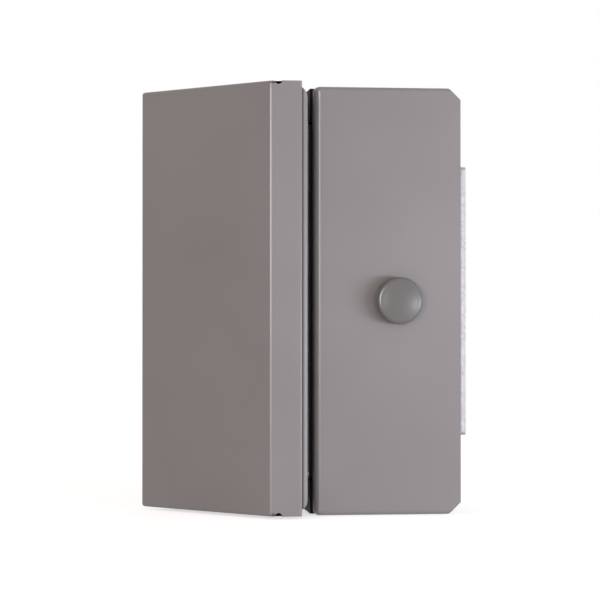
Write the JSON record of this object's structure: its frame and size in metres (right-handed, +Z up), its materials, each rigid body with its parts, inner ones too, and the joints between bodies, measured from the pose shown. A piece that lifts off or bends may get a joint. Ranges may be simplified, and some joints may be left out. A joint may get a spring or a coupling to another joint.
{
  "type": "electromagnetic lock",
  "caption": "Surface-mounted electromagnetic lock: a boxed magnet half with an exit push button, and a wedge-shaped keeper half whose floating armature meets the pole face.",
  "frame": {"origin": "centre of the rectangular fixing-hole pattern on the rear face of the magnet half", "axes": "+Z up along the lock, +Y back into the surface it is screwed to, +X to the right, away from the keeper"},
  "size_m": [0.15, 0.058, 0.201],
  "materials": {
    "cover_paint": "fine-textured grey powder coat",
    "bracket_paint": "grey powder coat",
    "zinc_plate": "bright zinc plating",
    "case_metal": "black anodised aluminium",
    "core_steel": "ground stacked laminations",
    "coil_tape": "amber winding tape",
    "potting": "black cast epoxy",
    "board": "green solder resist",
    "relay_case": "blue moulded case",
    "can_sleeve": "black shrunk sleeve on a metal can",
    "black_moulding": "black moulded plastic",
    "terminal_moulding": "green moulded plastic",
    "plunger_moulding": "white moulded plastic",
    "button_moulding": "grey moulded plastic",
    "stem_steel": "turned steel",
    "brass": "turned brass",
    "rubber": "black rubber",
    "lead_sleeve": "red wire sleeve",
    "armature_plating": "blackened steel, ground bright on the face that meets the magnet",
    "screw_steel": "zinc-plated screws"
  },
  "bodies": {
    "frame_half": {"frame_cover": "cover_paint", "chassis": "zinc_plate", "cable_grommet": "rubber", "magnet_case": "case_metal", "magnet_core": "core_steel", "magnet_coil": "coil_tape", "magnet_potting": "potting", "control_board": "board", "relay": "relay_case", "capacitor": "can_sleeve", "diode": "black_moulding", "terminal_block": "terminal_moulding", "switch_body": "black_moulding", "button_guide": "brass", "button_nut": "brass", "button_spring": "stem_steel", "frame_cover_screw_1": "screw_steel", "frame_cover_screw_2": "screw_steel", "frame_cover_screw_3": "screw_steel", "frame_cover_screw_4": "screw_steel", "magnet_screw_1": "screw_steel", "magnet_screw_2": "screw_steel", "magnet_screw_3": "screw_steel", "coil_lead_1": "lead_sleeve", "coil_lead_2": "lead_sleeve", "end_pad_1": "black_moulding", "end_pad_2": "black_moulding", "board_standoff_1": "brass", "board_standoff_2": "brass", "board_standoff_3": "brass", "board_standoff_4": "brass", "board_screw_1": "screw_steel", "board_screw_2": "screw_steel", "board_screw_3": "screw_steel", "board_screw_4": "screw_steel", "terminal_screw_1": "screw_steel", "terminal_screw_2": "screw_steel", "terminal_screw_3": "screw_steel"},
    "exit_button": {"button_cap": "button_moulding", "button_stem": "stem_steel", "button_clip": "stem_steel", "switch_plunger": "plunger_moulding"},
    "keeper_half": {"keeper_cover": "cover_paint", "keeper_bracket": "bracket_paint", "armature_carrier": "zinc_plate", "armature_bolt": "screw_steel", "rubber_washer": "rubber", "steel_washer": "screw_steel", "armature_nut": "screw_steel", "keeper_cover_screw_1": "screw_steel", "keeper_cover_screw_2": "screw_steel", "keeper_cover_screw_3": "screw_steel", "keeper_cover_screw_4": "screw_steel", "carrier_screw_1": "screw_steel", "carrier_screw_2": "screw_steel", "carrier_screw_3": "screw_steel", "carrier_screw_4": "screw_steel"},
    "armature": {"armature_plate": "armature_plating", "guide_pin_1": "screw_steel", "guide_pin_2": "screw_steel"}
  },
  "joints": [
    {"name": "button_press", "type": "slide", "parent": "frame_half", "child": "exit_button", "axis": [0, 1, 0], "range_m": [0, 0.002], "stiffness_N_per_m": 600, "springref_m": -0.004, "deforming": ["button_spring"]},
    {"name": "keeper_part", "type": "slide", "parent": "frame_half", "child": "keeper_half", "axis": [-1, 0, 0], "range_m": [0, 0.06]},
    {"name": "armature_float", "type": "slide", "parent": "keeper_half", "child": "armature", "axis": [-1, 0, 0], "range_m": [0, 0.0015], "stiffness_N_per_m": 8000, "springref_m": -0.001, "deforming": ["rubber_washer"]}
  ]
}
